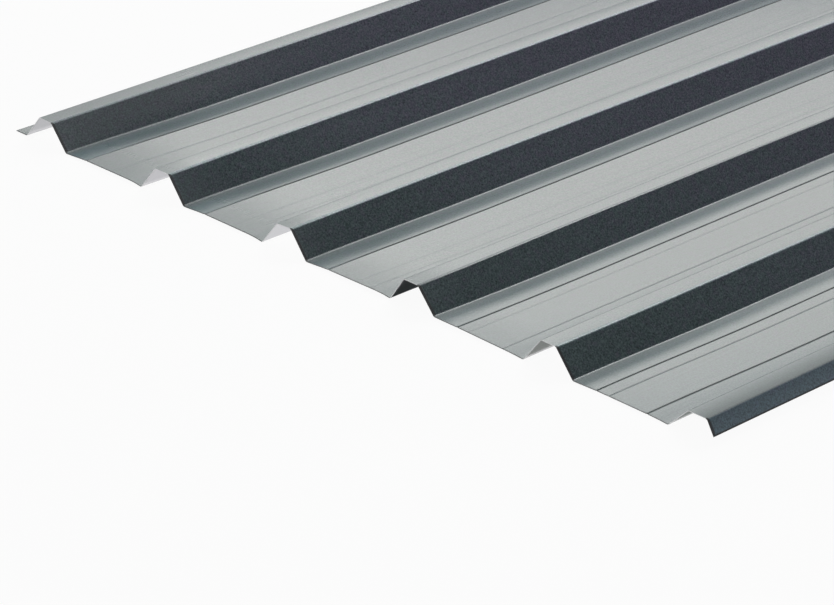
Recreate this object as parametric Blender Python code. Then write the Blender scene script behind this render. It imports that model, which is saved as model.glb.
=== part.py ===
"""Box profile roofing sheet: one cold-rolled length of coated steel.

The sheet lies as stored, pans down on the floor. X runs across the ribs, from the underlap edge
to the overlap edge, Y runs along the sheet and Z is up. The origin is on the floor, under the
middle of the sheet. Lengths are in metres and angles in radians.
"""
import math

import bmesh
import bpy
from mathutils import Vector

# Stock
SHEET_LENGTH = 2.44
STEEL_THICKNESS = 0.0007

# Rolled section, on the weather side, between the sharp corners that the bends replace
PROFILE_DEPTH = 0.032
FULL_RIBS = 5
RIB_PITCH = 0.200
RIB_CROWN = 0.023
WEB_RUN = 0.0235
BEND_RADIUS = 0.003
BEND_STEPS = 6

# Underlap edge: a flat foot that lies under the next sheet
FOOT_WIDTH = 0.020

# Overlap edge: a lower, wider rib whose outer web ends free, above the pans
LAP_PAN = 0.1325
LAP_CROWN = 0.025
LAP_RISE = 0.0255
LAP_INNER_RUN = 0.0255
LAP_OUTER_RUN = 0.0105
LAP_OUTER_DROP = 0.017

# Roller creases: fine ridges along the pans, placed across a pan from its left-hand web
CREASE_WIDTH = 0.0024
CREASE_HEIGHT = 0.0004
CREASE_STEPS = 6
NEAR_CREASE_SHARE = 0.254
MIDDLE_CREASE_SHARE = 0.380
FAR_CREASE_SHARE = 0.770
PAN_CREASE_SHARES = (
    (NEAR_CREASE_SHARE,),
    (NEAR_CREASE_SHARE,),
    (NEAR_CREASE_SHARE,),
    (NEAR_CREASE_SHARE,),
    (NEAR_CREASE_SHARE, MIDDLE_CREASE_SHARE, FAR_CREASE_SHARE),
)

# Finishes
TOP_COAT_GREY = (0.178, 0.222, 0.240, 1.0)
BACKING_COAT_GREY = (0.60, 0.60, 0.62, 1.0)
CUT_STEEL_GREY = (0.30, 0.30, 0.31, 1.0)
SHARP_ANGLE = math.radians(35.0)


def clear_scene():
    """Remove the objects that the scene starts with."""
    for leftover in list(bpy.data.objects):
        bpy.data.objects.remove(leftover)


def make_material(name, colour, roughness, metallic):
    """Return a Principled material with these values."""
    material = bpy.data.materials.new(name)
    material.use_nodes = True
    shader = material.node_tree.nodes["Principled BSDF"]
    shader.inputs["Base Color"].default_value = colour
    shader.inputs["Roughness"].default_value = roughness
    shader.inputs["Metallic"].default_value = metallic
    return material


def bend(before, corner, after):
    """Return the points of the arc that replaces a corner of the section."""
    towards_before = (before - corner).normalized()
    towards_after = (after - corner).normalized()
    turn = math.pi - towards_before.angle(towards_after)
    tangent_length = BEND_RADIUS * math.tan(turn / 2)
    start = corner + towards_before * tangent_length
    middle_way = (towards_before + towards_after).normalized()
    centre = corner + middle_way * (BEND_RADIUS / math.cos(turn / 2))
    from_centre = start - centre
    side = math.copysign(1.0, towards_after.cross(towards_before))
    points = []
    for step in range(BEND_STEPS + 1):
        swept = side * turn * step / BEND_STEPS
        turned = Vector((
            from_centre.x * math.cos(swept) - from_centre.y * math.sin(swept),
            from_centre.x * math.sin(swept) + from_centre.y * math.cos(swept),
        ))
        points.append(centre + turned)
    return points


def crease(pan_left, pan_width, share):
    """Return the points of one raised-cosine ridge across a pan."""
    points = []
    for step in range(CREASE_STEPS + 1):
        way = step / CREASE_STEPS
        height = CREASE_HEIGHT * (1 - math.cos(math.tau * way)) / 2
        across = pan_left.x + pan_width * share + CREASE_WIDTH * (way - 1 / 2)
        points.append(Vector((across, pan_left.y + height)))
    return points


def rib_corners(left, crown, rise, inner_run, outer_run, outer_drop):
    """Return a rib's four sharp corners, from its left base to the end of its right web."""
    crown_left = left + Vector((inner_run, rise))
    crown_right = crown_left + Vector((crown, 0))
    return [left, crown_left, crown_right, crown_right + Vector((outer_run, -outer_drop))]


def section_corners():
    """Return the section's sharp corners and, by number, the creases that follow one of them."""
    rise = PROFILE_DEPTH - STEEL_THICKNESS
    pan = RIB_PITCH - RIB_CROWN - 2 * WEB_RUN
    free_edge = Vector((0, STEEL_THICKNESS))
    left = free_edge + Vector((FOOT_WIDTH, 0))
    corners = [free_edge]
    creases = {}
    for rib in range(FULL_RIBS):
        corners += rib_corners(left, RIB_CROWN, rise, WEB_RUN, WEB_RUN, rise)
        last_full = rib == FULL_RIBS - 1
        width = LAP_PAN if last_full else pan
        shares = PAN_CREASE_SHARES[rib % len(PAN_CREASE_SHARES)]
        creases[len(corners) - 1] = (width, shares)
        left = corners[-1] + Vector((width, 0))
    corners += rib_corners(left, LAP_CROWN, LAP_RISE, LAP_INNER_RUN, LAP_OUTER_RUN, LAP_OUTER_DROP)
    return corners, creases


def section_line():
    """Return the weather side's line across the sheet, with its bends and creases."""
    corners, creases = section_corners()
    line = [corners[0]]
    for number in range(1, len(corners) - 1):
        corner = corners[number]
        line += bend(corners[number - 1], corner, corners[number + 1])
        width, shares = creases.get(number, (0, ()))
        for share in shares:
            line += crease(corner, width, share)
    line.append(corners[-1])
    return line


def roll_sheet():
    """Return the sheet: the section's line run along its length, then given its steel."""
    line = section_line()
    middle = (line[0].x + line[-1].x) / 2
    bm = bmesh.new()
    near = [bm.verts.new((point.x - middle, -SHEET_LENGTH / 2, point.y)) for point in line]
    edges = [bm.edges.new(pair) for pair in zip(near, near[1:])]
    run = bmesh.ops.extrude_edge_only(bm, edges=edges)
    far = [item for item in run["geom"] if isinstance(item, bmesh.types.BMVert)]
    bmesh.ops.translate(bm, verts=far, vec=(0, SHEET_LENGTH, 0))
    bmesh.ops.recalc_face_normals(bm, faces=bm.faces)
    if sum(face.normal.z for face in bm.faces) < 0:
        bmesh.ops.reverse_faces(bm, faces=bm.faces)
    mesh = bpy.data.meshes.new("box_profile_sheet")
    bm.to_mesh(mesh)
    bm.free()
    mesh.shade_smooth()
    mesh.set_sharp_from_angle(angle=SHARP_ANGLE)
    sheet = bpy.data.objects.new("box_profile_sheet", mesh)
    bpy.context.scene.collection.objects.link(sheet)
    return sheet


def give_steel(sheet):
    """Thicken the sheet downwards, and coat its two sides and leave its cut edges bare."""
    mesh = sheet.data
    mesh.materials.append(make_material("top_coat", TOP_COAT_GREY, roughness=0.2, metallic=0.0))
    mesh.materials.append(make_material("backing_coat", BACKING_COAT_GREY, roughness=0.5, metallic=0.0))
    mesh.materials.append(make_material("cut_steel", CUT_STEEL_GREY, roughness=0.4, metallic=0.9))
    steel = sheet.modifiers.new("steel", "SOLIDIFY")
    steel.thickness = STEEL_THICKNESS
    steel.offset = -1.0
    steel.use_even_offset = True
    steel.material_offset = 1
    steel.material_offset_rim = 2


def main():
    """Build the sheet."""
    clear_scene()
    give_steel(roll_sheet())


main()
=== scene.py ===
"""Looks of a box profile roofing sheet: its coats, roller marks, cut edges, floor and studio light.

Lengths are in metres and angles in degrees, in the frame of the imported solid: X across the ribs
from the underlap edge to the overlap edge, Y along the sheet, Z up, with the floor at zero.
"""
import logging
import math
from dataclasses import astuple, dataclass, field
from enum import Enum
from typing import Any, Iterable, Sequence

import bpy
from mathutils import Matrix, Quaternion, Vector


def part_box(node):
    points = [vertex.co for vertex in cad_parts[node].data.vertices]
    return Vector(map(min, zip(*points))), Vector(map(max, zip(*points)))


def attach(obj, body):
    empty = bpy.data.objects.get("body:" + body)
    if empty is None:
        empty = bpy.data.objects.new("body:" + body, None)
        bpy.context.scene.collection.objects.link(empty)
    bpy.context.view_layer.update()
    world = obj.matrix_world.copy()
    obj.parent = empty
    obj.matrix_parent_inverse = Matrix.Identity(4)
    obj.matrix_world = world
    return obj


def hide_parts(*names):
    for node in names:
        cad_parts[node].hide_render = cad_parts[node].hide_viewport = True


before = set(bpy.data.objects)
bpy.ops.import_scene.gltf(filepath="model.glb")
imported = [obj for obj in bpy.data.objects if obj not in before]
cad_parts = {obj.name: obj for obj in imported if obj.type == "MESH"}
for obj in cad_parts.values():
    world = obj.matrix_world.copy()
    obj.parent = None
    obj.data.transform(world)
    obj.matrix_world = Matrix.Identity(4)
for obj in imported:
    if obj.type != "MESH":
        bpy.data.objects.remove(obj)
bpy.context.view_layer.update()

LOG = logging.getLogger("roofing_sheet")
NODE_NAME = "box_profile_sheet"
BODY_NAME = "root"
WHITE = (1.0, 1.0, 1.0, 1.0)
Triple = tuple[float, float, float]
Colour = Triple
Corner = tuple[Vector, "Condition"]


class Face(Enum):
    """The three kinds of surface that the sheet shows, each with a finish of its own."""

    WEATHER = "weather_coat"
    BACKING = "backing_coat"
    CUT = "cut_edge"


class Bend(Enum):
    """The four bends of a rib, from its left base to its right base."""

    LEFT_BASE = 1
    LEFT_SHOULDER = 2
    RIGHT_SHOULDER = 3
    RIGHT_BASE = 4


class Socket:
    """A node socket or number that takes part in Python expressions and adds Math nodes."""

    def __init__(self, graph: "Graph", source: Any) -> None:
        """Wrap a socket, or a plain number, of one graph."""
        self.graph = graph
        self.source = source

    def _math(self, operation: str, *operands: Any) -> "Socket":
        """Return a Math node's result for these operands."""
        return self.graph.node("Math", {"operation": operation}, dict(enumerate(operands)))

    def __add__(self, other: Any) -> "Socket":
        """Return self + other."""
        return self._math("ADD", self, other)

    def __radd__(self, other: Any) -> "Socket":
        """Return other + self."""
        return self._math("ADD", other, self)

    def __sub__(self, other: Any) -> "Socket":
        """Return self - other."""
        return self._math("SUBTRACT", self, other)

    def __rsub__(self, other: Any) -> "Socket":
        """Return other - self."""
        return self._math("SUBTRACT", other, self)

    def __mul__(self, other: Any) -> "Socket":
        """Return self * other."""
        return self._math("MULTIPLY", self, other)

    def __rmul__(self, other: Any) -> "Socket":
        """Return other * self."""
        return self._math("MULTIPLY", other, self)

    def __truediv__(self, other: Any) -> "Socket":
        """Return self / other."""
        return self._math("DIVIDE", self, other)

    def __rtruediv__(self, other: Any) -> "Socket":
        """Return other / self."""
        return self._math("DIVIDE", other, self)

    def floor(self) -> "Socket":
        """Return the whole number below."""
        return self._math("FLOOR", self)

    def absolute(self) -> "Socket":
        """Return the value without its sign."""
        return self._math("ABSOLUTE", self)

    def least(self, other: Any) -> "Socket":
        """Return the smaller of two values."""
        return self._math("MINIMUM", self, other)

    def clamp(self) -> "Socket":
        """Return the value held between 0 and 1."""
        return self.graph.node("Clamp", {}, {"Value": self})

    def smooth_step(self, low: Any, high: Any) -> "Socket":
        """Return 0 below low, 1 above high and a smooth rise between them."""
        inputs = {"Value": self, "From Min": low, "From Max": high}
        return self.graph.node("MapRange", {"interpolation_type": "SMOOTHSTEP"}, inputs)


class Graph:
    """Adds nodes to a node tree, each from its type, its settings and its inputs."""

    def __init__(self, tree: bpy.types.NodeTree) -> None:
        """Hold a tree."""
        self.tree = tree

    def make(self, kind: str, settings: dict[str, Any], inputs: dict[Any, Any]) -> bpy.types.Node:
        """Add one node.

        Args:
            kind: The node's type in full for a geometry node, and without ShaderNode for any other.
            settings: Properties that are set before the inputs.
            inputs: Values or links by socket name or number.

        Returns:
            The node.
        """
        node = self.tree.nodes.new(kind if kind.startswith("GeometryNode") else "ShaderNode" + kind)
        for setting, value in settings.items():
            setattr(node, setting, value)
        for key, value in inputs.items():
            self.feed(self.socket(node.inputs, key), value)
        return node

    def node(self, kind: str, settings: dict[str, Any], inputs: dict[Any, Any],
             out: Any = 0) -> Socket:
        """Add one node as make does, and return one of its outputs."""
        return Socket(self, self.socket(self.make(kind, settings, inputs).outputs, out))

    def feed(self, socket: bpy.types.NodeSocket, value: Any) -> None:
        """Link a wrapped or bare socket to an input, or set the input to a plain value.

        Args:
            socket: The input.
            value: What it is fed with.
        """
        source = value.source if isinstance(value, Socket) else value
        if isinstance(source, bpy.types.NodeSocket):
            self.tree.links.new(source, socket)
        else:
            socket.default_value = source

    @staticmethod
    def socket(sockets: Sequence[bpy.types.NodeSocket], key: Any) -> bpy.types.NodeSocket:
        """Find a socket by its number or name.

        Args:
            sockets: A node's inputs or outputs.
            key: The socket's number or name.

        Returns:
            That socket, and where a name has several, the first enabled one.
        """
        if isinstance(key, int):
            return sockets[key]
        named = [item for item in sockets if item.name == key]
        return max(named, key=lambda item: item.enabled)

    def looked_at(self) -> Socket:
        """Return 1 for rays from the camera or a glossy surface, and 0 for the rest."""
        path = self.make("LightPath", {}, {}).outputs
        return (Socket(self, path["Is Camera Ray"]) + Socket(self, path["Is Glossy Ray"])).clamp()


class ShaderGraph(Graph):
    """A material's node tree, with the few helpers that the finishes share."""

    def __init__(self, material: bpy.types.Material) -> None:
        """Empty the material's tree and hold it."""
        material.use_nodes = True
        material.node_tree.nodes.clear()
        super().__init__(material.node_tree)

    def noise(self, size: float, detail: float, seed: float,
              stretch: Triple = (1.0, 1.0, 1.0)) -> Socket:
        """Return noise over the Object coordinates.

        Args:
            size: Size of its patches, in metres.
            detail: How many finer layers it has.
            seed: A number that tells this noise from the others.
            stretch: Scale of the coordinates along each axis, below 1 for longer patches.

        Returns:
            The noise, around 0.5.
        """
        coordinates = self.node("TexCoord", {}, {}, "Object")
        place = self.node("Mapping", {}, {"Vector": coordinates, "Scale": stretch})
        inputs = {"Vector": place, "Scale": 1 / size, "Detail": detail, "W": seed}
        return self.node("TexNoise", {"noise_dimensions": "4D"}, inputs)

    def across(self, axis: int) -> Socket:
        """Return one of the Object coordinates, in metres."""
        coordinates = self.node("TexCoord", {}, {}, "Object")
        return self.node("SeparateXYZ", {}, {0: coordinates}, axis)

    def mark(self, name: str) -> Socket:
        """Return a number that the mesh carries at each point."""
        return self.node("Attribute", {"attribute_name": name}, {}, "Fac")

    def blend(self, factor: Any, first: Any, second: Any) -> Socket:
        """Return a mix of two colours."""
        inputs = {"Factor": factor, "A": self._colour(first), "B": self._colour(second)}
        return self.node("Mix", {"data_type": "RGBA"}, inputs, "Result")

    def shade(self, colour: Any, amount: Any) -> Socket:
        """Return a colour scaled by a number."""
        return self.node("VectorMath", {"operation": "SCALE"}, {0: colour, "Scale": amount})

    def principled(self, **inputs: Any) -> bpy.types.Node:
        """Add a Principled BSDF, with words joined by underscores as its socket names."""
        named = {name.replace("_", " "): value for name, value in inputs.items()}
        return self.make("BsdfPrincipled", {}, named)

    def output(self, shader: bpy.types.Node) -> None:
        """Link a shader to the material's output."""
        self.make("OutputMaterial", {}, {"Surface": shader.outputs[0]})

    @staticmethod
    def _colour(value: Any) -> Any:
        """Return a plain colour with its alpha, and anything else as it is."""
        return value if isinstance(value, Socket) else (*value, 1.0)


@dataclass(frozen=True)
class WeatherCoat:
    """Semi-gloss embossed blue-grey coat on the weather side."""

    green_grey: Colour = (0.094, 0.127, 0.130)
    violet_grey: Colour = (0.108, 0.116, 0.142)
    roughness: float = 0.17
    grain_size: float = 0.0016
    grain_height: float = 0.00005
    grain_tone: float = 0.5
    mottle_size: float = 0.0019
    mottle_height: float = 0.00006
    mottle_tone: float = 2.3
    mottle_on_flats: float = 0.35
    flat_cast: Colour = (0.97, 1.0, 0.98)
    # Painted reflection: the bands beside the webs are tinted darker and teal, for the dark webs
    # mirrored in the pans.
    band_painted_reflection: Colour = (0.56, 0.78, 0.80)
    # Painted reflection: the lap web is tinted lighter and bluer.
    lap_painted_reflection: Colour = (1.00, 1.18, 1.42)
    # Painted highlight along the right shoulders' bends.
    shoulder_highlight_tone: float = 1.9
    tint_size: float = 0.006
    tint_across: float = -0.14
    tint_along: float = 0.22
    tint_range: tuple[float, float] = (0.11, 0.59)
    streak_width: float = 0.0016
    streak_length: float = 0.35
    streak_tone: float = 0.30
    streak_roughness: float = 0.05
    # Painted shade along the creases.
    crease_tone: float = 0.95
    crease_roughness: float = 0.75
    # Painted shade towards the near end: it darkens the coat there, also roughens it and fades the
    # creases' painted shade.
    end_shade_tone: float = 0.22
    end_shade_roughness: float = 0.20
    end_shade_fade: float = 1.2
    # Painted highlight that lightens the bands towards the near end.
    band_end_highlight: float = 1.25
    rim_width: float = 0.0009
    # Painted shade in the strip beside the cut edges, on the faces whose edges are unlit.
    rim_tone: float = 0.95
    rim_roughness: float = 0.25
    rim_spread: float = 3.0
    rim_fade: tuple[float, float] = (0.7, 1.3)

    def build(self, section: "RolledSection") -> bpy.types.Material:
        """Return the coat's material.

        Args:
            section: The rolled section, whose ends and edges carry the rim's painted shade.

        Returns:
            The material.
        """
        material = bpy.data.materials.new(Face.WEATHER.value)
        graph = ShaderGraph(material)
        grain = graph.noise(self.grain_size, detail=2.0, seed=3.0) - 0.5
        mottle = graph.noise(self.mottle_size, detail=1.0, seed=9.0) - 0.5
        stretch = (1.0, self.streak_width / self.streak_length, 1.0)
        streaks = graph.noise(self.streak_width, detail=1.0, seed=7.0, stretch=stretch) - 0.5
        # end_shade is painted shade that deepens towards the near end.
        slope, end_shade = graph.mark("slope"), self._end_shade(graph, section)
        # The crease mark carries the creases' painted shade.
        crease = graph.mark("crease") * (1.0 - end_shade * self.end_shade_fade)
        # The rim carries painted shade beside the unlit cut edges.
        rim = self._rim(graph, section, slope)
        mottled = self.mottle_on_flats + (1.0 - self.mottle_on_flats) * slope
        tone = 1.0 + grain * self.grain_tone + mottle * mottled * self.mottle_tone
        tone = tone + streaks * (1.0 - slope) * self.streak_tone
        tone = tone * (1.0 - crease * self.crease_tone) * (1.0 - end_shade * self.end_shade_tone)
        # The shoulder_highlight mark lightens the right shoulders with painted highlight.
        tone = tone * (1.0 - rim * self.rim_tone) * (1.0 + graph.mark("shoulder_highlight") * self.shoulder_highlight_tone)
        # Painted highlight on the bands towards the near end.
        tone = tone * (1.0 + end_shade * end_shade * graph.mark("band") * self.band_end_highlight)
        roughness = self.roughness + streaks * self.streak_roughness
        roughness = roughness + crease * self.crease_roughness
        roughness = roughness + end_shade * self.end_shade_roughness + rim * self.rim_roughness
        height = grain * self.grain_height + mottle * slope * self.mottle_height
        bump = graph.node("Bump", {}, {"Strength": 1.0, "Distance": 1.0, "Height": height})
        colour = graph.shade(self._tinted(graph, slope), tone)
        graph.output(graph.principled(Base_Color=colour, Roughness=roughness, Normal=bump))
        return material

    def _tinted(self, graph: ShaderGraph, slope: Socket) -> Socket:
        """Mix the coat's greenish and violet greys, with the cast of its flats and the painted
        reflections of its bands and lap web.

        Args:
            graph: The coat's nodes.
            slope: 0 on the flats and 1 on the webs.

        Returns:
            The colour, before its tone.
        """
        tint = graph.noise(self.tint_size, detail=1.0, seed=13.0)
        tint = tint + graph.across(0) * self.tint_across + graph.across(1) * self.tint_along
        colour = graph.blend(tint.smooth_step(*self.tint_range), self.green_grey, self.violet_grey)
        flats = graph.blend(graph.mark("band"), self.flat_cast, self.band_painted_reflection)
        cast = graph.blend(slope, flats, (1.0, 1.0, 1.0))
        cast = graph.blend(graph.mark("lap"), cast, self.lap_painted_reflection)
        return graph.node("VectorMath", {"operation": "MULTIPLY"}, {0: colour, 1: cast})

    @staticmethod
    def _end_shade(graph: ShaderGraph, section: "RolledSection") -> Socket:
        """Return the painted shade towards the near end, from the line's own amount and the
        distance from the near end.
        """
        end_shading = (graph.across(1) + section.length / 2) / graph.mark("reach")
        return graph.mark("end_shade") * (1.0 - end_shading.smooth_step(0.0, 1.0))

    def _rim(self, graph: ShaderGraph, section: "RolledSection", slope: Socket) -> Socket:
        """Mark the narrow strip beside the cut edges, which gets painted shade where the edge is
        unlit.

        Args:
            graph: The coat's nodes.
            section: The rolled section, whose sizes place the edges.
            slope: 0 on the flats and 1 on the webs, where the strip along the ends is wider.

        Returns:
            1 on the strip and 0 elsewhere.
        """
        to_end = (section.length / 2 - graph.across(1).absolute()) / (1.0 + self.rim_spread * slope)
        to_side = section.width / 2 - graph.across(0).absolute()
        strips = to_end.least(to_side) / self.rim_width
        return (1.0 - strips.smooth_step(*self.rim_fade)) * (1.0 - graph.mark("shear"))


@dataclass(frozen=True)
class BackingCoat:
    """Thin light grey backing coat on the underside, with a faint violet cast."""

    colour: Colour = (0.75, 0.74, 0.77)
    metallic: float = 0.35
    roughness: float = 0.22
    mottle_size: float = 0.012
    mottle_stretch: Triple = (1.0, 0.2, 1.0)
    mottle_tone: float = 0.10
    mottle_roughness: float = 0.10

    def build(self) -> bpy.types.Material:
        """Return the coat's material.

        Returns:
            The material.
        """
        material = bpy.data.materials.new(Face.BACKING.value)
        graph = ShaderGraph(material)
        stretch = self.mottle_stretch
        mottle = graph.noise(self.mottle_size, detail=3.0, seed=11.0, stretch=stretch) - 0.5
        colour = graph.shade(self.colour, 1.0 + mottle * self.mottle_tone)
        roughness = self.roughness + mottle * self.mottle_roughness
        graph.output(graph.principled(
            Base_Color=colour, Metallic=self.metallic, Roughness=roughness))
        return material


@dataclass(frozen=True)
class CutEdge:
    """Bare steel at the sheared edges: painted light on the rising webs and crowns, painted shade
    elsewhere.
    """

    # Painted shade and painted light of the cut steel, picked by the shear mark.
    shaded_steel: Colour = (0.030, 0.035, 0.037)
    lit_steel: Colour = (0.62, 0.62, 0.63)
    metallic: float = 0.9
    roughness: float = 0.40
    scratch_size: float = 0.0012
    scratch_stretch: Triple = (1.0, 1.0, 0.3)
    scratch_tone: float = 0.5
    scratch_roughness: float = 0.2

    def build(self) -> bpy.types.Material:
        """Return the edge's material.

        Returns:
            The material.
        """
        material = bpy.data.materials.new(Face.CUT.value)
        graph = ShaderGraph(material)
        stretch = self.scratch_stretch
        scratches = graph.noise(self.scratch_size, detail=2.0, seed=17.0, stretch=stretch) - 0.5
        colour = graph.blend(graph.mark("shear"), self.shaded_steel, self.lit_steel)
        colour = graph.shade(colour, 1.0 + scratches * self.scratch_tone)
        roughness = self.roughness + scratches * self.scratch_roughness
        graph.output(graph.principled(
            Base_Color=colour, Metallic=self.metallic, Roughness=roughness))
        return material


@dataclass(frozen=True)
class Condition:
    """How the sheet has settled along one line of its length, with its painted shade and highlight.

    The shifts across and up are those of the near end, the sway is the sideways shift further
    along, the painted shade fades to nothing at its reach from the near end, and the painted
    highlight is a shoulder's.
    """

    across: float = 0.0
    up: float = 0.0
    sway: float = 0.0
    end_shade: float = 0.0
    reach: float = 0.1
    shoulder_highlight: float = 0.0

    def towards(self, other: "Condition", share: float) -> "Condition":
        """Return the condition at a share of the way to another."""
        pairs = zip(astuple(self), astuple(other))
        return Condition(*(first + (second - first) * share for first, second in pairs))


@dataclass(frozen=True)
class Nudge:
    """How far one bend of one rib has settled at the near end, always into the sheet's own box."""

    rib: int
    bend: Bend
    across: float
    up: float


@dataclass(frozen=True)
class LinePoint:
    """One point of the section's line, on the weather side."""

    place: Vector
    tilt: float
    condition: Condition
    crease: float = 0.0
    flat: float = 0.0
    band: float = 0.0
    shoulder_highlight: float = 0.0


@dataclass(frozen=True)
class Crease:
    """A roller mark along a pan, placed by its share of the pan's width."""

    share: float
    height: float
    width: float = 0.0024
    # How much painted shade the crease's line gets.
    dark: float = 1.0


@dataclass(frozen=True)
class RolledSection:
    """The rolled section's sizes, and the line across the sheet that they give."""

    length: float
    width: float
    depth: float
    steel: float = 0.0007
    full_ribs: int = 5
    pitch: float = 0.200
    crown: float = 0.023
    web_run: float = 0.0235
    bend_radius: float = 0.003
    shoulder_radius: float = 0.0046
    base_radius: float = 0.0034
    bend_steps: int = 10
    foot: float = 0.020
    lap_pan: float = 0.1325
    lap_crown: float = 0.025
    lap_rise: float = 0.0255
    lap_inner_run: float = 0.0255
    lap_outer_run: float = 0.0105
    lap_outer_drop: float = 0.017
    flat_step: float = 0.011
    crease_steps: int = 8
    fit: float = 0.999999
    crease_guard: float = 1.3
    crease_room: float = 2.2
    crease_spread: float = 1.7
    creases: tuple[tuple[Crease, ...], ...] = (
        (Crease(0.266, 0.0004, 0.0029), Crease(0.62, 0.00007, dark=0.2)),
        (Crease(0.268, 0.0004, 0.0029), Crease(0.62, 0.00003, dark=0.12),
         Crease(0.78, 0.00004, dark=0.12)),
        (Crease(0.264, 0.0004, 0.0029), Crease(0.62, 0.00003, dark=0.12),
         Crease(0.78, 0.00004, dark=0.12)),
        (Crease(0.260, 0.0004, 0.0029), Crease(0.385, 0.00003, dark=0.15),
         Crease(0.78, 0.00010, dark=0.35)),
        (Crease(0.246, 0.0004, 0.0029), Crease(0.380, 0.0003, dark=0.35),
         Crease(0.788, 0.0004, 0.0036, dark=0.8)),
    )
    nudges: tuple[Nudge, ...] = (
        Nudge(0, Bend.LEFT_BASE, -0.0009, 0.0011),
        Nudge(0, Bend.LEFT_SHOULDER, -0.0017, -0.0005),
        Nudge(0, Bend.RIGHT_SHOULDER, -0.0033, -0.0009),
        Nudge(0, Bend.RIGHT_BASE, -0.0011, 0.0004),
        Nudge(1, Bend.LEFT_BASE, 0.0, 0.0011),
        Nudge(1, Bend.RIGHT_BASE, 0.0016, 0.0003),
        Nudge(2, Bend.LEFT_BASE, 0.0014, 0.0002),
        Nudge(2, Bend.LEFT_SHOULDER, 0.0009, -0.0009),
        Nudge(2, Bend.RIGHT_BASE, 0.0016, 0.0002),
        Nudge(3, Bend.LEFT_BASE, 0.0024, 0.0016),
        Nudge(3, Bend.LEFT_SHOULDER, -0.0016, 0.0),
        Nudge(3, Bend.RIGHT_SHOULDER, -0.0030, 0.0),
        Nudge(3, Bend.RIGHT_BASE, -0.0015, 0.0028),
        Nudge(4, Bend.RIGHT_SHOULDER, -0.0014, 0.0),
        Nudge(4, Bend.RIGHT_BASE, 0.0008, 0.0009),
    )
    foot_lift: float = 0.0010
    # Painted shade at the foot's near end, and its reach.
    foot_end_shade: tuple[float, float] = (0.35, 0.4)
    swell: float = 0.3
    fall_share: float = 0.12
    crown_bow: float = -0.3
    level_tilt: float = 0.2
    # Painted light on the cut edges of the low flats, and the height below which a flat counts as
    # low.
    low_edge_light: float = 0.13
    low_height: float = 0.007
    pan_sway: tuple[float, ...] = (0.0052, 0.0058, 0.0048, 0.0, 0.0056)
    shoulder_sway: tuple[float, ...] = (0.0003, 0.0003, 0.0, -0.0034, 0.0004, 0.0)
    # Painted highlight on each rib's right shoulder bend.
    rib_shoulder_highlight: tuple[float, ...] = (0.6, 1.0, 1.0, 0.0, 0.8, 0.0)
    pan_rise: tuple[float, ...] = (0.0017, 0.0017, 0.0017, 0.0006, 0.0008)
    # Painted shade towards the near end on the lap's shoulders, the crowns and the pans, with the
    # reach over which it fades.
    lap_end_shade: tuple[float, float] = (0.5, 1.5)
    crown_end_shade: tuple[float, ...] = (0.8, 0.6, 0.6, 0.5, 0.0)
    crown_reach: tuple[float, ...] = (0.55, 0.06, 0.06, 0.08, 0.05, 6.0)
    pan_end_shade: tuple[float, ...] = (0.7, 0.65, 0.45, 0.25, 0.1)
    pan_reach: tuple[float, ...] = (0.15, 0.13, 0.09, 0.08, 0.08)

    def corners(self) -> list[Corner]:
        """Set out the section's sharp corners.

        Returns:
            Each corner with its condition, from the underlap edge to the overlap edge.
        """
        rise = self.depth - self.steel
        pan = self.pitch - self.crown - 2 * self.web_run
        left = Vector((self.foot, self.steel))
        found = [(Vector((0.0, self.steel)), Condition(0.0, self.foot_lift, 0.0, *self.foot_end_shade))]
        for rib in range(self.full_ribs + 1):
            lap = rib == self.full_ribs
            crown, lift = (self.lap_crown, self.lap_rise) if lap else (self.crown, rise)
            inner, outer = (self.lap_inner_run, self.lap_outer_run) if lap else (self.web_run,) * 2
            drop = self.lap_outer_drop if lap else rise
            top = left + Vector((inner, lift))
            end = top + Vector((crown + outer, -drop))
            places = (left, top, top + Vector((crown, 0.0)), end)
            found += [(place, self._condition(rib, bend)) for place, bend in zip(places, Bend)]
            left = end + Vector((self.lap_pan if rib == self.full_ribs - 1 else pan, 0.0))
        middle = Vector((found[-1][0].x / 2, 0.0))
        # The fit draws the line in by a hair, which keeps rounding within the solid's box
        return [(Vector(((place - middle).x * self.fit, place.y)), condition)
                for place, condition in found]

    def _condition(self, rib: int, bend: Bend) -> Condition:
        """Find the condition of one corner.

        Args:
            rib: The rib, counted from the underlap edge.
            bend: The bend of that rib.

        Returns:
            The corner's condition.
        """
        settled = [nudge for nudge in self.nudges if (nudge.rib, nudge.bend) == (rib, bend)]
        across, up = (settled[0].across, settled[0].up) if settled else (0.0, 0.0)
        if bend in (Bend.LEFT_SHOULDER, Bend.RIGHT_SHOULDER):
            right = bend is Bend.RIGHT_SHOULDER
            end_shading = (*self.crown_end_shade, self.lap_end_shade[right])
            sway, shoulder_highlight = (self.shoulder_sway[rib], self.rib_shoulder_highlight[rib]) if right else (0.0, 0.0)
            return Condition(across, up, sway, end_shading[rib], self.crown_reach[rib], shoulder_highlight)
        pan = rib - 1 if bend is Bend.LEFT_BASE else rib
        if not 0 <= pan < len(self.pan_sway):
            return Condition(across, up, 0.0, *self.foot_end_shade)
        return Condition(across, up, self.pan_sway[pan], self.pan_end_shade[pan], self.pan_reach[pan])

    def shear(self, point: LinePoint) -> float:
        """Tell how much painted light a cut edge gets: the rising webs and crowns most of all.

        Args:
            point: A point of the line.

        Returns:
            A share from 0, painted shade, to 1, painted light.
        """
        if point.tilt < -self.level_tilt:
            return 0.0
        lit = point.tilt > self.level_tilt or point.place.y > self.low_height
        return 1.0 if lit else self.low_edge_light

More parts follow.
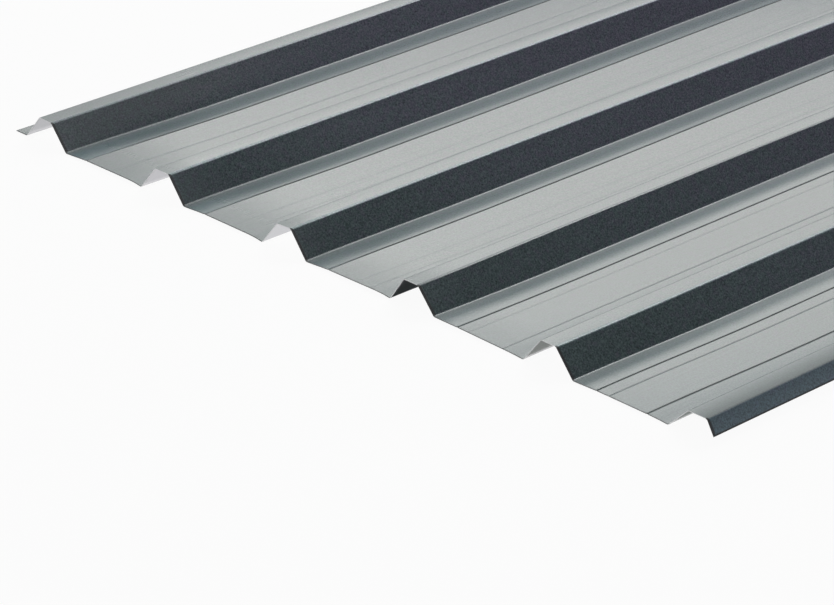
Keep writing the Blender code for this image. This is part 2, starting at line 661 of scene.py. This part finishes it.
    def line(self) -> list[LinePoint]:
        """Draw the weather side's line, with its bends, flats and creases.

        Returns:
            The line's points, from the underlap edge to the overlap edge.
        """
        corners = self.corners()
        points: list[LinePoint] = []
        start, last = corners[0][0], len(corners) - 1
        for number in range(1, last + 1):
            corner = corners[number][0]
            bend = [] if number == last else self._bend(*corners[number - 1:number + 2])
            end = bend[0].place if bend else corner
            points += self._flat(start, end, corners[number - 1][1], corners[number][1], number)
            points += bend
            start = bend[-1].place if bend else corner
        points.append(LinePoint(start, points[-1].tilt, corners[-1][1]))
        return points

    def _bend(self, before: Corner, corner: Corner, after: Corner) -> list[LinePoint]:
        """Draw the arc that replaces one corner.

        Args:
            before: The corner before it.
            corner: The corner.
            after: The corner after it.

        Returns:
            The arc's points.
        """
        first, second = corner[0] - before[0], after[0] - corner[0]
        tilts = [math.atan2(leg.y, leg.x) for leg in (first, second)]
        turn = tilts[1] - tilts[0]
        radius = self.bend_radius
        if min(tilts) < -self.level_tilt:
            radius = self.shoulder_radius if turn < 0 else self.base_radius
        start = corner[0] - first.normalized() * radius * math.tan(abs(turn) / 2)
        side = math.copysign(radius, turn)
        centre = start + Vector((-math.sin(tilts[0]), math.cos(tilts[0]))) * side
        arc = []
        for step in range(self.bend_steps + 1):
            tilt = tilts[0] + turn * step / self.bend_steps
            place = centre - Vector((-math.sin(tilt), math.cos(tilt))) * side
            # The shoulder's painted highlight is strongest in the middle of the arc.
            shoulder_highlight = corner[1].shoulder_highlight * math.sin(math.pi * step / self.bend_steps) ** 0.5
            arc.append(LinePoint(place, tilt, corner[1], shoulder_highlight=shoulder_highlight))
        return arc

    def _flat(self, start: Vector, end: Vector, first: Condition, second: Condition,
              number: int) -> list[LinePoint]:
        """Draw the flat between two bends, without the second bend's own start.

        Args:
            start: Where the flat leaves the first bend.
            end: Where it meets the second bend.
            first: Condition of the first bend's corner.
            second: Condition of the second bend's corner.
            number: The second corner's number, which tells pans, webs and crowns apart.

        Returns:
            The flat's points.
        """
        run = end - start
        tilt = math.atan2(run.y, run.x)
        steps = max(2, round(run.length / self.flat_step))
        shares = [(step / steps, 0.0, 0.0) for step in range(1 if number > 1 else 0, steps)]
        rib, leg = divmod(number - 1, len(Bend))
        on_pan, on_crown = rib > 0 and leg == 0, leg == 2
        creases = self.creases[rib - 1] if on_pan else ()
        for crease in creases:
            shares = self._creased(shares, crease, run.length)
        near = creases[0].share if creases else 1.0
        rise = self.pan_rise[rib - 1] if on_pan else 0.0
        weight = 1.0 if on_pan else self.crown_bow if on_crown else 0.0
        points = []
        for share, lift, dark in shares:
            raised = rise * self._swell(min(share / near, (1 - share) / self.fall_share, 1.0))
            place = start + run * share + Vector((0.0, lift + raised))
            flat = 4 * share * (1 - share) * weight
            band = 1.0 if on_pan and share <= near else 0.0
            points.append(LinePoint(place, tilt, first.towards(second, share), dark, flat, band))
        return points

    def _swell(self, way: float) -> float:
        """Return a rise from 0 to 1 that is steepest in the middle of its way."""
        return way - self.swell * math.sin(math.tau * way) / math.tau

    def _creased(self, shares: list[tuple[float, float, float]], crease: Crease,
                 run: float) -> list[tuple[float, float, float]]:
        """Work one raised-cosine crease into a flat.

        Args:
            shares: The flat's points, each a share of its run, a lift and a darkness.
            crease: The crease.
            run: Length of the flat.

        Returns:
            The points with the crease's own in place of those that it covers.
        """
        half = crease.width / 2 / run
        room = half * self.crease_room
        kept = [item for item in shares if abs(item[0] - crease.share) > room]
        guards = (-self.crease_guard, self.crease_guard)
        kept += [(crease.share + half * guard, 0.0, 0.0) for guard in guards]
        for step in range(self.crease_steps + 1):
            way = step / self.crease_steps
            lift = (1 - math.cos(math.tau * way)) / 2
            dark = min(1.0, self.crease_spread * lift) * crease.dark
            kept.append((crease.share + half * (2 * way - 1), crease.height * lift, dark))
        return sorted(kept)


class SheetTree:
    """The Geometry Nodes tree that runs the section's line along the sheet and gives it steel."""

    MARKS = ("crease", "slope", "end_shade", "reach", "shear", "band", "shoulder_highlight", "lap")
    SIZES = ("Length", "Steel", "Even Share", "Bow", "Bow Length", "Seed", "End Reach",
             "Sway Rise", "Sway Fade", "Sway End")
    ROUNDING = 0.0001
    WAVE_GAIN = 2.0
    WAVE_LEVEL = 0.6
    WELD = 0.000001

    def __init__(self) -> None:
        """Make the tree and its named inputs."""
        self.tree = bpy.data.node_groups.new("roll_forming", "GeometryNodeTree")
        self.sockets: dict[str, str] = {}
        self._input("Section", "NodeSocketGeometry")
        for name in self.SIZES:
            self._input(name, "NodeSocketFloat")
        self._input("Stations", "NodeSocketInt")
        for face in Face:
            self._input(face.value, "NodeSocketMaterial")
        self.tree.interface.new_socket("Sheet", in_out="OUTPUT", socket_type="NodeSocketGeometry")
        self.graph = Graph(self.tree)
        self.given = self.tree.nodes.new("NodeGroupInput")
        self._build()

    def _input(self, name: str, kind: str) -> None:
        """Add one named input and remember its identifier."""
        made = self.tree.interface.new_socket(name, in_out="INPUT", socket_type=kind)
        self.sockets[name] = made.identifier

    def _ask(self, name: str) -> Socket:
        """Return one of the tree's inputs."""
        return Socket(self.graph, self.given.outputs[name])

    def _stored(self, name: str, kind: str) -> Socket:
        """Return a named value of whatever geometry asks for it."""
        settings, inputs = {"data_type": kind}, {"Name": name}
        return self.graph.node("GeometryNodeInputNamedAttribute", settings, inputs, "Attribute")

    def _store(self, geometry: Socket, name: str, kind: str, value: Socket) -> Socket:
        """Return a geometry that carries a named value at its points."""
        settings = {"data_type": kind, "domain": "POINT"}
        inputs = {"Geometry": geometry, "Name": name, "Value": value}
        return self.graph.node("GeometryNodeStoreNamedAttribute", settings, inputs)

    def _at(self, column: Socket, value: Socket, kind: str = "FLOAT") -> Socket:
        """Return a value of the section's line at a column of the grid."""
        settings = {"data_type": kind, "domain": "POINT"}
        inputs = {"Geometry": self._ask("Section"), "Value": value, "Index": column}
        return self.graph.node("GeometryNodeSampleIndex", settings, inputs)

    def _parts(self, vector: Socket) -> tuple[Socket, Socket]:
        """Return the parts of a vector across the sheet and up."""
        outputs = self.graph.make("SeparateXYZ", {}, {0: vector}).outputs
        return Socket(self.graph, outputs[0]), Socket(self.graph, outputs[2])

    def _join(self, across: Any, along: Any, up: Any) -> Socket:
        """Return a vector from its three parts."""
        return self.graph.node("CombineXYZ", {}, {0: across, 1: along, 2: up})

    def _coated(self, geometry: Socket, face: Face, **inputs: Any) -> Socket:
        """Return a geometry with one finish on it, or on the faces that Selection names."""
        given = {"Geometry": geometry, "Material": self._ask(face.value), **inputs}
        return self.graph.node("GeometryNodeSetMaterial", {}, given)

    def _build(self) -> None:
        """Lay out the nodes: a grid, its underside, its weather side and rims, and the whole."""
        graph = self.graph
        shell = self._underside()
        offset = self._stored("steel", "FLOAT_VECTOR")
        inputs = {"Mesh": shell, "Offset Scale": 0.0, "Individual": False}
        raised = graph.make("GeometryNodeExtrudeMesh", {"mode": "FACES"}, inputs).outputs
        inputs = {"Geometry": raised["Mesh"], "Selection": raised["Top"], "Offset": offset}
        weather = graph.node("GeometryNodeSetPosition", {}, inputs)
        weather = self._coated(weather, Face.WEATHER, Selection=raised["Top"])
        weather = self._coated(weather, Face.CUT, Selection=raised["Side"])
        backing = graph.node("GeometryNodeFlipFaces", {}, {"Mesh": shell})
        backing = self._coated(backing, Face.BACKING)
        join = graph.make("GeometryNodeJoinGeometry", {}, {})
        for side in (backing, weather):
            graph.feed(join.inputs[0], side)
        inputs = {"Geometry": join.outputs[0], "Distance": self.WELD}
        merged = graph.node("GeometryNodeMergeByDistance", {}, inputs)
        whole = graph.node("GeometryNodeRealizeInstances", {}, {"Geometry": merged})
        graph.feed(self.tree.nodes.new("NodeGroupOutput").inputs[0], whole)

    def _underside(self) -> Socket:
        """Lay out the underside: a grid with a column for each point of the section's line.

        Returns:
            The underside, with the line's marks and the way through the steel at each point.
        """
        graph = self.graph
        inputs = {"Geometry": self._ask("Section")}
        columns = graph.node("GeometryNodeAttributeDomainSize", {}, inputs, "Point Count")
        stations = self._ask("Stations")
        inputs = {"Vertices X": columns, "Vertices Y": stations}
        grid = graph.node("GeometryNodeMeshGrid", {}, inputs)
        index = graph.node("GeometryNodeInputIndex", {}, {})
        column = (index / stations + self.ROUNDING).floor()
        way = (index - column * stations) / (stations - 1.0)
        even = self._ask("Even Share")
        from_end = (way * even + way * way * (1.0 - even)) * self._ask("Length")
        top = self._settled(column, from_end)
        normal = self._at(column, self._stored("steel_normal", "FLOAT_VECTOR"), "FLOAT_VECTOR")
        inputs = {0: normal, "Scale": self._ask("Steel")}
        steel = graph.node("VectorMath", {"operation": "SCALE"}, inputs)
        below = graph.node("VectorMath", {"operation": "SUBTRACT"}, {0: top, 1: steel})
        shell = graph.node("GeometryNodeSetPosition", {}, {"Geometry": grid, "Position": below})
        for name in self.MARKS:
            shell = self._store(shell, name, "FLOAT", self._at(column, self._stored(name, "FLOAT")))
        return self._store(shell, "steel", "FLOAT_VECTOR", steel)

    def _settled(self, column: Socket, from_end: Socket) -> Socket:
        """Place the weather side's points, with what the sheet has settled, swayed and bowed.

        Args:
            column: The point of the section's line that each point comes from.
            from_end: Distance of each point from the near end.

        Returns:
            The places.
        """
        along = from_end - self._ask("Length") * 0.5
        place = self.graph.node("GeometryNodeInputPosition", {}, {})
        across, height = self._parts(self._at(column, place, "FLOAT_VECTOR"))
        inputs = {"Vector": self._join(across, along, 0.0), "W": self._ask("Seed"),
                  "Scale": 1.0 / self._ask("Bow Length"), "Detail": 1.0}
        waves = self.graph.node("TexNoise", {"noise_dimensions": "4D"}, inputs)
        bow = (waves * self.WAVE_GAIN - self.WAVE_LEVEL).clamp()
        lift = bow * self._at(column, self._stored("flat", "FLOAT")) * self._ask("Bow")
        settled = (1.0 - from_end / self._ask("End Reach")).clamp()
        settle = self._at(column, self._stored("settle", "FLOAT_VECTOR"), "FLOAT_VECTOR")
        shift, sink = self._parts(settle)
        swayed = from_end.smooth_step(0.0, self._ask("Sway Rise"))
        fade, end = self._ask("Sway Fade"), self._ask("Sway End")
        swayed = swayed * (1.0 - from_end.smooth_step(fade, end))
        sway = self._at(column, self._stored("sway", "FLOAT"))
        across = across + shift * settled * settled + sway * swayed
        return self._join(across, along, height + (lift + sink * settled * settled))


@dataclass
class RoofingSheet:
    """The rolled sheet: its section, its slight bows and its three finishes."""

    section: RolledSection
    stations: int = 84
    even_share: float = 0.4
    end_reach: float = 0.25
    sway_rise: float = 0.27
    sway_fade: float = 0.42
    sway_end: float = 1.05
    bow: float = 0.0006
    bow_length: float = 0.35
    seed: float = 5.0
    smooth_angle: float = 30.0
    weather: WeatherCoat = field(default_factory=WeatherCoat)
    backing: BackingCoat = field(default_factory=BackingCoat)
    cut: CutEdge = field(default_factory=CutEdge)

    def build(self) -> bpy.types.Object:
        """Roll the sheet.

        Returns:
            The finished sheet, a plain mesh object.
        """
        rolled = self._roll(self._section_mesh())
        rolled.set_sharp_from_angle(angle=math.radians(self.smooth_angle))
        return add_object("rolled_sheet", rolled)

    def _section_mesh(self) -> bpy.types.Mesh:
        """Draw the section's line.

        Returns:
            A chain of edges that carries the line's marks.
        """
        line = self.section.line()
        mesh = bpy.data.meshes.new("section_line")
        chain = [(number, number + 1) for number in range(len(line) - 1)]
        mesh.from_pydata([(point.place.x, 0.0, point.place.y) for point in line], chain, [])
        lap = self.section.width / 2 - self.section.lap_outer_run
        steepest = max(abs(math.sin(point.tilt)) for point in line)
        marks = {name: [getattr(point, name) for point in line]
                 for name in ("crease", "flat", "band", "shoulder_highlight")}
        for name in ("sway", "end_shade", "reach"):
            marks[name] = [getattr(point.condition, name) for point in line]
        marks["lap"] = [float(point.place.x > lap) for point in line]
        marks["slope"] = [abs(math.sin(point.tilt)) / steepest for point in line]
        marks["shear"] = [self.section.shear(point) for point in line]
        for name, values in marks.items():
            mesh.attributes.new(name, "FLOAT", "POINT").data.foreach_set("value", values)
        settled = [(point.condition.across, 0.0, point.condition.up) for point in line]
        self._carry(mesh, "settle", settled)
        normals = [(-math.sin(point.tilt), 0.0, math.cos(point.tilt)) for point in line]
        self._carry(mesh, "steel_normal", normals)
        return mesh

    @staticmethod
    def _carry(mesh: bpy.types.Mesh, name: str, vectors: Iterable[Triple]) -> None:
        """Store one vector for each point of a mesh."""
        parts = [part for vector in vectors for part in vector]
        mesh.attributes.new(name, "FLOAT_VECTOR", "POINT").data.foreach_set("vector", parts)

    def _roll(self, mesh: bpy.types.Mesh) -> bpy.types.Mesh:
        """Roll the section's line into a sheet with Geometry Nodes.

        Args:
            mesh: The section's line, which is used up.

        Returns:
            The sheet's mesh.
        """
        source = add_object("section_line", mesh)
        tree = SheetTree()
        modifier = source.modifiers.new("rolls", "NODES")
        modifier.node_group = tree.tree
        given: dict[str, Any] = {
            "Length": self.section.length, "Steel": self.section.steel,
            "Even Share": self.even_share, "Stations": self.stations,
            "Bow": self.bow, "Bow Length": self.bow_length, "Seed": self.seed,
            "End Reach": self.end_reach, "Sway Rise": self.sway_rise,
            "Sway Fade": self.sway_fade, "Sway End": self.sway_end,
            Face.WEATHER.value: self.weather.build(self.section),
            Face.BACKING.value: self.backing.build(), Face.CUT.value: self.cut.build(),
        }
        for name, value in given.items():
            modifier[tree.sockets[name]] = value
        graph = bpy.context.evaluated_depsgraph_get()
        rolled = bpy.data.meshes.new_from_object(source.evaluated_get(graph), depsgraph=graph)
        rolled.name = "rolled_sheet"
        source.modifiers.remove(modifier)
        bpy.data.objects.remove(source)
        return rolled


def add_object(name: str, data: Any) -> bpy.types.Object:
    """Add an object to the scene.

    Args:
        name: The object's name.
        data: Its mesh, light or camera.

    Returns:
        The object.
    """
    made = bpy.data.objects.new(name, data)
    bpy.context.scene.collection.objects.link(made)
    return made


@dataclass(frozen=True)
class Panel:
    """A soft light panel that faces the sheet from a direction."""

    name: str
    azimuth: float
    elevation: float
    width: float
    height: float
    radiance: float
    colour: Colour = (1.0, 1.0, 1.0)
    distance: float = 8.0

    def build(self, aim: Vector) -> None:
        """Add the panel.

        Args:
            aim: The point that it is turned to.
        """
        light = bpy.data.lights.new(self.name, "AREA")
        light.shape = "RECTANGLE"
        light.size = self.width
        light.size_y = self.height
        light.energy = self.radiance * math.pi * self.width * self.height
        light.color = self.colour
        lamp = add_object(self.name, light)
        away = direction(self.azimuth, self.elevation)
        lamp.location = aim + away * self.distance
        lamp.rotation_mode = "QUATERNION"
        lamp.rotation_quaternion = away.to_track_quat("Z", "Y")


def direction(azimuth: float, elevation: float) -> Vector:
    """Turn an azimuth and elevation, in degrees, into a direction, with 0 towards -Y.

    Args:
        azimuth: Turn from -Y towards +X.
        elevation: Height above the horizon.

    Returns:
        The unit vector from the sheet outwards.
    """
    turn, rise = math.radians(azimuth), math.radians(elevation)
    level = math.cos(rise)
    return Vector((math.sin(turn) * level, -math.cos(turn) * level, math.sin(rise)))


@dataclass(frozen=True)
class Flag:
    """A dark card that keeps light off the sheet from one side, and that the camera doesn't see."""

    name: str
    azimuth: float
    elevation: float
    distance: float
    width: float
    height: float
    glow: Colour = (0.02, 0.02, 0.022)

    def build(self, aim: Vector) -> None:
        """Add the card.

        Args:
            aim: The point that it is turned to and shades.
        """
        away = direction(self.azimuth, self.elevation)
        turn = away.to_track_quat("Z", "Y")
        halves = ((-0.5, -0.5), (0.5, -0.5), (0.5, 0.5), (-0.5, 0.5))
        sides = [Vector((x * self.width, y * self.height, 0.0)) for x, y in halves]
        corners = [aim + away * self.distance + turn @ side for side in sides]
        hang_card(self.name, corners, self.glow)


@dataclass(frozen=True)
class Liner:
    """A hidden card under a rib's rising web at the near end: its glow sets the look of the
    opening, and a dark one puts painted shade in it.
    """

    rib: int
    glow: Colour
    gap: float = 0.0012
    end_gap: float = 0.0005
    depth: float = 0.09
    span: tuple[float, float] = (0.06, 0.93)

    def build(self, section: RolledSection) -> None:
        """Add the card along the underside of the rib's rising web.

        Args:
            section: The rolled section.
        """
        base = 1 + len(Bend) * self.rib
        foot, shoulder = (corner[0] for corner in section.corners()[base:base + 2])
        rise = shoulder - foot
        below = Vector((rise.y, -rise.x)).normalized() * (section.steel + self.gap)
        low, high = (foot + rise * share + below for share in self.span)
        near = -section.length / 2 + self.end_gap
        far = near + self.depth
        sides = ((low, near), (low, far), (high, far), (high, near))
        corners = [Vector((place.x, along, place.y)) for place, along in sides]
        hang_card(f"liner_{self.rib + 1}", corners, self.glow)


def hang_card(name: str, corners: Sequence[Vector], glow: Colour) -> None:
    """Add a staged card that glows evenly and that the camera doesn't see.

    Args:
        name: The card's name.
        corners: Its four corners in order.
        glow: How brightly it glows.
    """
    mesh = bpy.data.meshes.new(name)
    mesh.from_pydata(corners, [], [(0, 1, 2, 3)])
    material = bpy.data.materials.new(name)
    graph = ShaderGraph(material)
    graph.output(graph.make("Emission", {}, {"Color": (*glow, 1.0), "Strength": 1.0}))
    mesh.materials.append(material)
    card = add_object(name, mesh)
    card.visible_camera = False


@dataclass(frozen=True)
class Viewpoint:
    """The photograph's camera: the point of the sheet in mid-frame and the way to it."""

    from_left: float = 0.6478
    from_near_end: float = 0.0158
    azimuth: float = 43.633
    elevation: float = 25.376
    roll: float = 1.907
    distance: float = 4.2920
    lens: float = 171.15

    def build(self, low: Vector, pan_height: float) -> None:
        """Add the camera and make it the scene's own.

        Args:
            low: The lowest corner of the sheet's box.
            pan_height: Height of the pans' weather side.
        """
        data = bpy.data.cameras.new("camera")
        data.lens = self.lens
        camera = add_object("camera", data)
        aim = Vector((low.x + self.from_left, low.y + self.from_near_end, pan_height))
        back = direction(self.azimuth, self.elevation)
        camera.location = aim + back * self.distance
        camera.rotation_mode = "QUATERNION"
        level = back.to_track_quat("Z", "Y")
        camera.rotation_quaternion = level @ Quaternion((0.0, 0.0, 1.0), math.radians(self.roll))
        bpy.context.scene.camera = camera


@dataclass(frozen=True)
class Studio:
    """Pale floor, plain surroundings and soft panels around the sheet."""

    floor_size: float = 24.0
    floor_gap: float = 0.0004
    floor_colour: Colour = (0.80, 0.80, 0.80)
    floor_roughness: float = 0.9
    floor_shadow: float = 0.06
    ambient: float = 0.28
    panels: tuple[Panel, ...] = (
        Panel("horizon_left_panel", azimuth=-129.0, elevation=25.3, width=4.3, height=1.31,
              radiance=2.37, colour=(0.98, 0.98, 0.93)),
        Panel("horizon_back_panel", azimuth=-162.0, elevation=25.75, width=4.3, height=1.19,
              radiance=1.75, colour=(0.97, 0.98, 0.95)),
        Panel("back_left_panel", azimuth=-155.0, elevation=44.0, width=8.8, height=3.99,
              radiance=2.2, colour=(0.95, 1.0, 1.0)),
        Panel("left_panel", azimuth=-90.0, elevation=60.0, width=5.0, height=5.0, radiance=0.8),
        Panel("shoulder_panel", azimuth=174.0, elevation=53.0, width=2.6, height=1.5,
              radiance=6.5, colour=(0.97, 1.0, 1.0)),
    )
    flags: tuple[Flag, ...] = (
        Flag("back_right_flag", azimuth=126.0, elevation=34.75, distance=6.0,
             width=3.66, height=3.05),
        Flag("back_flag", azimuth=153.0, elevation=34.75, distance=6.0,
             width=2.2, height=3.05, glow=(0.13, 0.06, 0.17)),
        Flag("low_left_flag", azimuth=-136.0, elevation=13.0, distance=7.0,
             width=6.0, height=1.7, glow=(0.41, 0.56, 0.565)),
    )
    liners: tuple[Liner, ...] = (
        Liner(0, glow=(0.60, 0.61, 0.61)),
        Liner(1, glow=(0.66, 0.665, 0.67)),
        Liner(2, glow=(0.74, 0.75, 0.75)),
        # A near-black card here puts painted shade in the fourth rib's opening.
        Liner(3, glow=(0.028, 0.032, 0.032)),
        Liner(4, glow=(0.24, 0.255, 0.24)),
        Liner(5, glow=(0.19, 0.215, 0.20)),
    )

    def build(self, aim: Vector, section: RolledSection) -> None:
        """Add the floor, the surroundings, the panels and the cards.

        Args:
            aim: The middle of the sheet.
            section: The rolled section, whose ribs the smallest cards line.
        """
        self._floor(aim)
        self._surroundings()
        for fitting in (*self.panels, *self.flags):
            fitting.build(aim)
        for liner in self.liners:
            liner.build(section)

    def _floor(self, aim: Vector) -> None:
        """Add a pale floor that shows white to the camera and keeps a soft shadow.

        Args:
            aim: The point that it is centred under.
        """
        half = self.floor_size / 2
        sides = ((-half, -half), (half, -half), (half, half), (-half, half))
        corners = [(aim.x + x, aim.y + y, -self.floor_gap) for x, y in sides]
        mesh = bpy.data.meshes.new("floor")
        mesh.from_pydata(corners, [], [(0, 1, 2, 3)])
        floor = add_object("floor", mesh)
        material = bpy.data.materials.new("pale_floor")
        graph = ShaderGraph(material)
        base = (*self.floor_colour, 1.0)
        matt = graph.principled(Base_Color=base, Roughness=self.floor_roughness)
        white = graph.make("Emission", {}, {"Color": WHITE, "Strength": 1.0})
        share = graph.looked_at() * (1.0 - self.floor_shadow)
        mix = {0: share, 1: matt.outputs[0], 2: white.outputs[0]}
        graph.output(graph.make("MixShader", {}, mix))
        mesh.materials.append(material)

    def _surroundings(self) -> None:
        """Light the scene evenly and show white behind it."""
        world = bpy.data.worlds.new("surroundings")
        world.use_nodes = True
        world.node_tree.nodes.clear()
        graph = Graph(world.node_tree)
        strength = graph.looked_at() * (1.0 - self.ambient) + self.ambient
        background = graph.make("Background", {}, {"Color": WHITE, "Strength": strength})
        graph.make("OutputWorld", {}, {"Surface": background.outputs[0]})
        bpy.context.scene.world = world


def main() -> None:
    """Build the sheet, its surroundings and the camera."""
    logging.basicConfig(level=logging.INFO, format="%(message)s")
    low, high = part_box(NODE_NAME)
    low, high = Vector(low), Vector(high)
    section = RolledSection(length=high.y - low.y, width=high.x - low.x, depth=high.z - low.z)
    sheet = RoofingSheet(section)
    piece = sheet.build()
    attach(piece, BODY_NAME)
    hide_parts(NODE_NAME)
    LOG.info("%s: %d faces", piece.name, len(piece.data.polygons))
    Viewpoint().build(low, section.steel)
    Studio().build((low + high) / 2, section)
    bpy.context.scene.view_settings.view_transform = "Standard"


if __name__ == "__main__":
    main()
